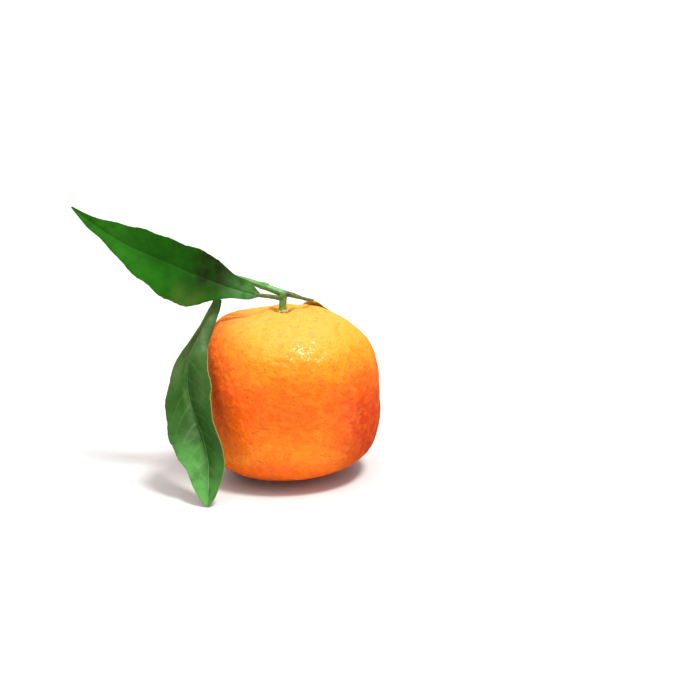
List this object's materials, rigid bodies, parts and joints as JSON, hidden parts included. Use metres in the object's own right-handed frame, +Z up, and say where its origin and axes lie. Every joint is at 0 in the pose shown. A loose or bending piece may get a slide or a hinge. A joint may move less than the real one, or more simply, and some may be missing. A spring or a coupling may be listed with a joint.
{
  "type": "mandarin with leaves",
  "caption": "Mandarin fruit, slightly flattened and creased round its green calyx, on a short stalk and twig with leaves.",
  "frame": {"origin": "centre of the small flat spot under the fruit, on the surface it rests on", "axes": "+Z up along the stalk, +X to the right in the picture, away from the two long leaves, +Y away from the viewer of the picture"},
  "size_m": [0.1042, 0.0753, 0.0923],
  "materials": {
    "peel": "satin",
    "calyx": "matte",
    "twig": "satin",
    "leaf": "satin"
  },
  "bodies": {
    "root": {"fruit": "peel", "calyx": "calyx", "twig": "twig", "leaf_upper": "leaf", "leaf_lower": "leaf", "leaf_back": "leaf"}
  },
  "joints": []
}
